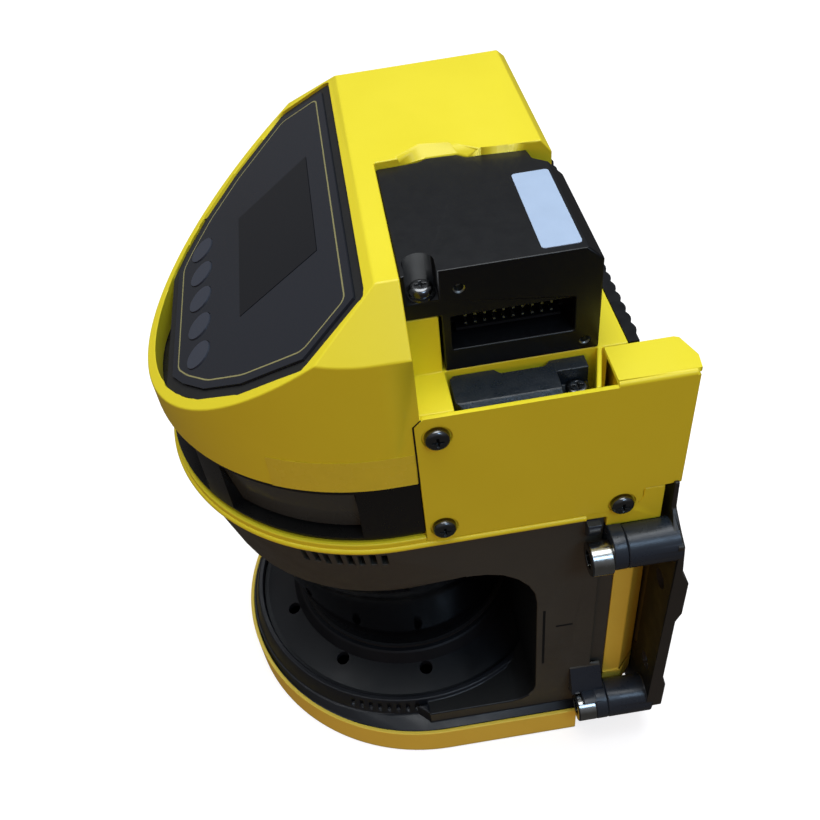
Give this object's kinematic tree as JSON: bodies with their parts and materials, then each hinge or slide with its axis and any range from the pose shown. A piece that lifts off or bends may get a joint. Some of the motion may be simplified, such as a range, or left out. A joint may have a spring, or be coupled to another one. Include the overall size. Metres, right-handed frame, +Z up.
{
  "type": "safety laser scanner",
  "caption": "Yellow and black safety laser scanner with slanted operating panel, camera band, waisted scan window, side connection box and wall frame",
  "frame": {"origin": "on the scan axis, the axis of the rotating mirror, at the underside of the base", "axes": "+Z up along the scan axis, -Y the rounded front of the unit, +X the side that carries the cover plate and the connector face"},
  "size_m": [0.1292, 0.1225, 0.167],
  "materials": {
    "yellow_paint": "satin powder coat",
    "yellow_plastic": "satin moulded",
    "black_casting": "satin black powder coat",
    "black_plastic": "fine texture",
    "dark_gloss": "gloss",
    "smoked_window": "polished, smoked",
    "pane": "polished, smoked",
    "rubber": "matt",
    "steel": "bright",
    "dark_steel": "black zinc",
    "aluminium": "machined",
    "black_aluminium": "black anodised",
    "mirror": "first-surface coating",
    "lens": "coated",
    "board": "solder mask",
    "brass": "gold plated",
    "label": "satin, bare",
    "clear_label": "clear film, bare",
    "keys": "fine texture"
  },
  "bodies": {
    "scanner": {"base_bumper": "yellow_plastic", "base_plate": "black_aluminium", "base_screws": "steel", "lower_housing": "black_casting", "dish_tray": "black_plastic", "scan_window": "smoked_window", "window_seal_upper": "rubber", "window_seal_lower": "rubber", "motor_stator": "aluminium", "rotor_bearings": "steel", "encoder_fork": "black_plastic", "lens_mount": "black_plastic", "lens_screws": "steel", "receiver_lens": "lens", "laser_module": "brass", "detector_board": "board", "main_board": "board", "joint_seal": "rubber", "head_shell": "yellow_paint", "camera_band": "black_plastic", "camera_panes": "pane", "camera_modules": "dark_gloss", "indicator_board": "board", "control_panel": "dark_gloss", "panel_gasket": "rubber", "display_window": "dark_gloss", "panel_keys": "keys", "display_module": "aluminium", "io_box": "black_casting", "interface_board": "board", "header_block": "black_plastic", "header_pins": "brass", "box_screw": "steel", "box_washer": "steel", "box_label": "label", "dome_label": "clear_label", "memory_module": "black_plastic", "module_screw": "dark_steel", "side_plate": "yellow_paint", "plate_screws": "dark_steel", "heat_sink": "black_aluminium", "rear_cover": "yellow_plastic", "mount_frame": "black_casting", "frame_screws": "steel"},
    "rotor": {"rotor_shaft": "steel", "encoder_disc": "dark_steel", "mirror_carrier": "black_plastic", "scan_mirror": "mirror"}
  },
  "joints": [
    {"name": "mirror_spin", "type": "hinge", "parent": "scanner", "child": "rotor", "pos_m": [0, 0, 0.012], "axis": [0, 0, 1], "continuous": true}
  ]
}
